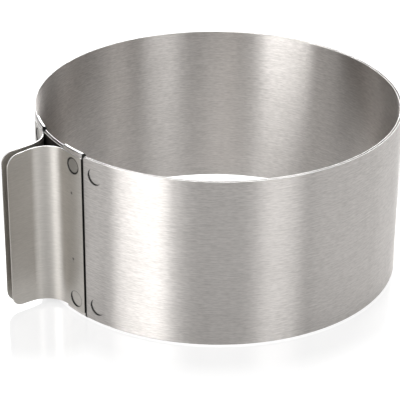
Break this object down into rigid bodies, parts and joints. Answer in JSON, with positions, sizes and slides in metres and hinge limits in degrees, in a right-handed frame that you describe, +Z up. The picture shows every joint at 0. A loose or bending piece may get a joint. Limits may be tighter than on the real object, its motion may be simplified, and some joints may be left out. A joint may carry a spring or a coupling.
{
  "type": "adjustable cake ring",
  "caption": "Springy steel strip coiled into a ring; its loose end slides through a folded clamp with pinch handles, so the ring's size can be set.",
  "frame": {"origin": "on the ring's axis, level with the foot of the clamp's folds, on which the ring stands", "axes": "+Z up along the ring's axis; the two handles point to -X; +X is the far side of the ring"},
  "size_m": [0.2204, 0.1928, 0.093],
  "materials": {
    "strip_steel": "bright rolled sheet, faint brushing along the strip",
    "plate_steel": "bright rolled sheet",
    "handle_steel": "satin pressed sheet"
  },
  "bodies": {
    "clamp_front": {"band_fixed_end": "strip_steel", "clamp_plate_front": "plate_steel", "front_handle_flange": "handle_steel"},
    "clamp_middle": {"clamp_plate_middle": "plate_steel"},
    "clamp_rear": {"clamp_plate_rear": "plate_steel", "rear_handle_flange": "handle_steel"},
    "front_wing": {"front_handle_wing": "handle_steel"},
    "rear_wing": {"rear_handle_wing": "handle_steel"},
    "band_length_01": {"band_length_01": "strip_steel"},
    "band_length_02": {"band_length_02": "strip_steel"},
    "band_length_03": {"band_length_03": "strip_steel"},
    "band_length_04": {"band_length_04": "strip_steel"},
    "band_length_05": {"band_length_05": "strip_steel"},
    "band_length_06": {"band_length_06": "strip_steel"},
    "band_length_07": {"band_length_07": "strip_steel"},
    "band_length_08": {"band_length_08": "strip_steel"},
    "band_length_09": {"band_length_09": "strip_steel"},
    "band_length_10": {"band_length_10": "strip_steel"},
    "band_length_11": {"band_length_11": "strip_steel"},
    "band_length_12": {"band_length_12": "strip_steel"},
    "band_length_13": {"band_length_13": "strip_steel"},
    "band_length_14": {"band_length_14": "strip_steel"},
    "band_length_15": {"band_length_15": "strip_steel"},
    "band_length_16": {"band_length_16": "strip_steel"},
    "band_length_17": {"band_length_17": "strip_steel"},
    "band_length_18": {"band_length_18": "strip_steel"},
    "band_length_19": {"band_length_19": "strip_steel"},
    "band_length_20": {"band_length_20": "strip_steel"},
    "band_length_21": {"band_length_21": "strip_steel"},
    "band_length_22": {"band_length_22": "strip_steel"},
    "band_length_23": {"band_length_23": "strip_steel"},
    "band_length_24": {"band_length_24": "strip_steel"},
    "band_length_25": {"band_length_25": "strip_steel"},
    "band_length_26": {"band_length_26": "strip_steel"},
    "band_length_27": {"band_length_27": "strip_steel"},
    "band_length_28": {"band_length_28": "strip_steel"},
    "band_length_29": {"band_length_29": "strip_steel"},
    "band_length_30": {"band_length_30": "strip_steel"},
    "band_length_31": {"band_length_31": "strip_steel"},
    "band_length_32": {"band_length_32": "strip_steel"},
    "band_length_33": {"band_length_33": "strip_steel"},
    "band_length_34": {"band_length_34": "strip_steel"},
    "band_length_35": {"band_length_35": "strip_steel"},
    "band_length_36": {"band_length_36": "strip_steel"},
    "band_length_37": {"band_length_37": "strip_steel"},
    "band_length_38": {"band_length_38": "strip_steel"}
  },
  "joints": [
    {"name": "ring_size", "type": "hinge", "parent": "clamp_front", "child": "band_length_01", "pos_m": [-0.0883, -0.0396, 0.0465], "axis": [0, 0, -1], "range_deg": [-2.72, 3.31]},
    {"name": "strip_bend_02", "type": "hinge", "parent": "band_length_01", "child": "band_length_02", "pos_m": [-0.07574, -0.06016, 0.0465], "axis": [0, 0, -1], "range_deg": [-3.01, 3.66]},
    {"name": "strip_bend_03", "type": "hinge", "parent": "band_length_02", "child": "band_length_03", "pos_m": [-0.05849, -0.07698, 0.0465], "axis": [0, 0, -1], "range_deg": [-3.01, 3.66]},
    {"name": "strip_bend_04", "type": "hinge", "parent": "band_length_03", "child": "band_length_04", "pos_m": [-0.03762, -0.089, 0.0465], "axis": [0, 0, -1], "range_deg": [-3.01, 3.66]},
    {"name": "strip_bend_05", "type": "hinge", "parent": "band_length_04", "child": "band_length_05", "pos_m": [-0.01445, -0.09549, 0.0465], "axis": [0, 0, -1], "range_deg": [-3.02, 3.67]},
    {"name": "strip_bend_06", "type": "hinge", "parent": "band_length_05", "child": "band_length_06", "pos_m": [0.0096, -0.09605, 0.0465], "axis": [0, 0, -1], "range_deg": [-3.02, 3.67]},
    {"name": "strip_bend_07", "type": "hinge", "parent": "band_length_06", "child": "band_length_07", "pos_m": [0.03302, -0.09066, 0.0465], "axis": [0, 0, -1], "range_deg": [-3.02, 3.67]},
    {"name": "strip_bend_08", "type": "hinge", "parent": "band_length_07", "child": "band_length_08", "pos_m": [0.05438, -0.07964, 0.0465], "axis": [0, 0, -1], "range_deg": [-3.02, 3.67]},
    {"name": "strip_bend_09", "type": "hinge", "parent": "band_length_08", "child": "band_length_09", "pos_m": [0.07234, -0.0637, 0.0465], "axis": [0, 0, -1], "range_deg": [-3.02, 3.67]},
    {"name": "strip_bend_10", "type": "hinge", "parent": "band_length_09", "child": "band_length_10", "pos_m": [0.0858, -0.04382, 0.0465], "axis": [0, 0, -1], "range_deg": [-3.02, 3.68]},
    {"name": "strip_bend_11", "type": "hinge", "parent": "band_length_10", "child": "band_length_11", "pos_m": [0.09392, -0.02124, 0.0465], "axis": [0, 0, -1], "range_deg": [-3.02, 3.68]},
    {"name": "strip_bend_12", "type": "hinge", "parent": "band_length_11", "child": "band_length_12", "pos_m": [0.09621, 0.00263, 0.0465], "axis": [0, 0, -1], "range_deg": [-3.03, 3.68]},
    {"name": "strip_bend_13", "type": "hinge", "parent": "band_length_12", "child": "band_length_13", "pos_m": [0.09252, 0.02632, 0.0465], "axis": [0, 0, -1], "range_deg": [-3.03, 3.68]},
    {"name": "strip_bend_14", "type": "hinge", "parent": "band_length_13", "child": "band_length_14", "pos_m": [0.08311, 0.04835, 0.0465], "axis": [0, 0, -1], "range_deg": [-3.03, 3.69]},
    {"name": "strip_bend_15", "type": "hinge", "parent": "band_length_14", "child": "band_length_15", "pos_m": [0.06854, 0.06735, 0.0465], "axis": [0, 0, -1], "range_deg": [-3.03, 3.69]},
    {"name": "strip_bend_16", "type": "hinge", "parent": "band_length_15", "child": "band_length_16", "pos_m": [0.04974, 0.08216, 0.0465], "axis": [0, 0, -1], "range_deg": [-3.03, 3.69]},
    {"name": "strip_bend_17", "type": "hinge", "parent": "band_length_16", "child": "band_length_17", "pos_m": [0.02788, 0.09186, 0.0465], "axis": [0, 0, -1], "range_deg": [-3.04, 3.69]},
    {"name": "strip_bend_18", "type": "hinge", "parent": "band_length_17", "child": "band_length_18", "pos_m": [0.0043, 0.09586, 0.0465], "axis": [0, 0, -1], "range_deg": [-3.04, 3.69]},
    {"name": "strip_bend_19", "type": "hinge", "parent": "band_length_18", "child": "band_length_19", "pos_m": [-0.01951, 0.0939, 0.0465], "axis": [0, 0, -1], "range_deg": [-3.04, 3.69]},
    {"name": "strip_bend_20", "type": "hinge", "parent": "band_length_19", "child": "band_length_20", "pos_m": [-0.0421, 0.08612, 0.0465], "axis": [0, 0, -1], "range_deg": [-3.04, 3.7]},
    {"name": "strip_bend_21", "type": "hinge", "parent": "band_length_20", "child": "band_length_21", "pos_m": [-0.06204, 0.073, 0.0465], "axis": [0, 0, -1], "range_deg": [-3.04, 3.7]},
    {"name": "strip_bend_22", "type": "hinge", "parent": "band_length_21", "child": "band_length_22", "pos_m": [-0.07812, 0.05537, 0.0465], "axis": [0, 0, -1], "range_deg": [-3.04, 3.7]},
    {"name": "strip_bend_23", "type": "hinge", "parent": "band_length_22", "child": "band_length_23", "pos_m": [-0.08934, 0.03433, 0.0465], "axis": [0, 0, -1], "range_deg": [-3.05, 3.7]},
    {"name": "strip_bend_24", "type": "hinge", "parent": "band_length_23", "child": "band_length_24", "pos_m": [-0.09501, 0.01117, 0.0465], "axis": [0, 0, -1], "range_deg": [-3.05, 3.71]},
    {"name": "strip_bend_25", "type": "hinge", "parent": "band_length_24", "child": "band_length_25", "pos_m": [-0.09477, -0.01265, 0.0465], "axis": [0, 0, -1], "range_deg": [-3.05, 3.71]},
    {"name": "strip_bend_26", "type": "hinge", "parent": "band_length_25", "child": "band_length_26", "pos_m": [-0.08866, -0.03566, 0.0465], "axis": [0, 0, -1], "range_deg": [-3.05, 3.71]},
    {"name": "strip_bend_27", "type": "hinge", "parent": "band_length_26", "child": "band_length_27", "pos_m": [-0.07706, -0.05644, 0.0465], "axis": [0, 0, -1], "range_deg": [-3.05, 3.71]},
    {"name": "strip_bend_28", "type": "hinge", "parent": "band_length_27", "child": "band_length_28", "pos_m": [-0.06068, -0.0737, 0.0465], "axis": [0, 0, -1], "range_deg": [-3.05, 3.71]},
    {"name": "strip_bend_29", "type": "hinge", "parent": "band_length_28", "child": "band_length_29", "pos_m": [-0.04056, -0.08637, 0.0465], "axis": [0, 0, -1], "range_deg": [-3.06, 3.72]},
    {"name": "strip_bend_30", "type": "hinge", "parent": "band_length_29", "child": "band_length_30", "pos_m": [-0.01795, -0.09367, 0.0465], "axis": [0, 0, -1], "range_deg": [-3.06, 3.72]},
    {"name": "strip_bend_31", "type": "hinge", "parent": "band_length_30", "child": "band_length_31", "pos_m": [0.00576, -0.09515, 0.0465], "axis": [0, 0, -1], "range_deg": [-3.06, 3.72]},
    {"name": "strip_bend_32", "type": "hinge", "parent": "band_length_31", "child": "band_length_32", "pos_m": [0.02909, -0.09073, 0.0465], "axis": [0, 0, -1], "range_deg": [-3.06, 3.72]},
    {"name": "strip_bend_33", "type": "hinge", "parent": "band_length_32", "child": "band_length_33", "pos_m": [0.05058, -0.08068, 0.0465], "axis": [0, 0, -1], "range_deg": [-3.06, 3.72]},
    {"name": "strip_bend_34", "type": "hinge", "parent": "band_length_33", "child": "band_length_34", "pos_m": [0.06892, -0.06564, 0.0465], "axis": [0, 0, -1], "range_deg": [-3.06, 3.73]},
    {"name": "strip_bend_35", "type": "hinge", "parent": "band_length_34", "child": "band_length_35", "pos_m": [0.08297, -0.04655, 0.0465], "axis": [0, 0, -1], "range_deg": [-3.06, 3.73]},
    {"name": "strip_bend_36", "type": "hinge", "parent": "band_length_35", "child": "band_length_36", "pos_m": [0.09185, -0.02458, 0.0465], "axis": [0, 0, -1], "range_deg": [-3.07, 3.73]},
    {"name": "strip_bend_37", "type": "hinge", "parent": "band_length_36", "child": "band_length_37", "pos_m": [0.09503, -0.00112, 0.0465], "axis": [0, 0, -1], "range_deg": [-3.07, 3.73]},
    {"name": "strip_bend_38", "type": "hinge", "parent": "band_length_37", "child": "band_length_38", "pos_m": [0.09231, 0.0224, 0.0465], "axis": [0, 0, -1], "range_deg": [-3.07, 3.73]},
    {"name": "plate_bend_front", "type": "hinge", "parent": "clamp_front", "child": "clamp_middle", "pos_m": [-0.09569, -0.0117, 0.0465], "axis": [0, 0, 1], "range_deg": [-4.29, 5.22]},
    {"name": "plate_bend_rear", "type": "hinge", "parent": "clamp_middle", "child": "clamp_rear", "pos_m": [-0.09569, 0.0117, 0.0465], "axis": [0, 0, 1], "range_deg": [-2.42, 2.94]},
    {"name": "front_squeeze", "type": "hinge", "parent": "clamp_front", "child": "front_wing", "pos_m": [-0.09719, -0.00911, 0.0465], "axis": [0, 0, -1], "range_deg": [0, 1], "stiffness_Nm_per_rad": 6},
    {"name": "rear_squeeze", "type": "hinge", "parent": "clamp_rear", "child": "rear_wing", "pos_m": [-0.09727, 0.00912, 0.0465], "axis": [0, 0, 1], "range_deg": [0, 1], "stiffness_Nm_per_rad": 6}
  ],
  "couplings": [
    {"joint": "strip_bend_02", "follows": "ring_size", "ratio": 1.1055},
    {"joint": "strip_bend_03", "follows": "ring_size", "ratio": 1.1062},
    {"joint": "strip_bend_04", "follows": "ring_size", "ratio": 1.1068},
    {"joint": "strip_bend_05", "follows": "ring_size", "ratio": 1.1075},
    {"joint": "strip_bend_06", "follows": "ring_size", "ratio": 1.1081},
    {"joint": "strip_bend_07", "follows": "ring_size", "ratio": 1.1088},
    {"joint": "strip_bend_08", "follows": "ring_size", "ratio": 1.1094},
    {"joint": "strip_bend_09", "follows": "ring_size", "ratio": 1.11},
    {"joint": "strip_bend_10", "follows": "ring_size", "ratio": 1.1107},
    {"joint": "strip_bend_11", "follows": "ring_size", "ratio": 1.1113},
    {"joint": "strip_bend_12", "follows": "ring_size", "ratio": 1.1119},
    {"joint": "strip_bend_13", "follows": "ring_size", "ratio": 1.1126},
    {"joint": "strip_bend_14", "follows": "ring_size", "ratio": 1.1132},
    {"joint": "strip_bend_15", "follows": "ring_size", "ratio": 1.1138},
    {"joint": "strip_bend_16", "follows": "ring_size", "ratio": 1.1145},
    {"joint": "strip_bend_17", "follows": "ring_size", "ratio": 1.1151},
    {"joint": "strip_bend_18", "follows": "ring_size", "ratio": 1.1157},
    {"joint": "strip_bend_19", "follows": "ring_size", "ratio": 1.1163},
    {"joint": "strip_bend_20", "follows": "ring_size", "ratio": 1.1169},
    {"joint": "strip_bend_21", "follows": "ring_size", "ratio": 1.1176},
    {"joint": "strip_bend_22", "follows": "ring_size", "ratio": 1.1182},
    {"joint": "strip_bend_23", "follows": "ring_size", "ratio": 1.1188},
    {"joint": "strip_bend_24", "follows": "ring_size", "ratio": 1.1194},
    {"joint": "strip_bend_25", "follows": "ring_size", "ratio": 1.12},
    {"joint": "strip_bend_26", "follows": "ring_size", "ratio": 1.1206},
    {"joint": "strip_bend_27", "follows": "ring_size", "ratio": 1.1212},
    {"joint": "strip_bend_28", "follows": "ring_size", "ratio": 1.1218},
    {"joint": "strip_bend_29", "follows": "ring_size", "ratio": 1.1224},
    {"joint": "strip_bend_30", "follows": "ring_size", "ratio": 1.123},
    {"joint": "strip_bend_31", "follows": "ring_size", "ratio": 1.1236},
    {"joint": "strip_bend_32", "follows": "ring_size", "ratio": 1.1242},
    {"joint": "strip_bend_33", "follows": "ring_size", "ratio": 1.1248},
    {"joint": "strip_bend_34", "follows": "ring_size", "ratio": 1.1254},
    {"joint": "strip_bend_35", "follows": "ring_size", "ratio": 1.126},
    {"joint": "strip_bend_36", "follows": "ring_size", "ratio": 1.1266},
    {"joint": "strip_bend_37", "follows": "ring_size", "ratio": 1.1272},
    {"joint": "strip_bend_38", "follows": "ring_size", "ratio": 1.1278},
    {"joint": "plate_bend_front", "follows": "ring_size", "ratio": 1.5768},
    {"joint": "plate_bend_rear", "follows": "ring_size", "ratio": 0.88742},
    {"joint": "rear_squeeze", "follows": "front_squeeze", "ratio": 1}
  ]
}
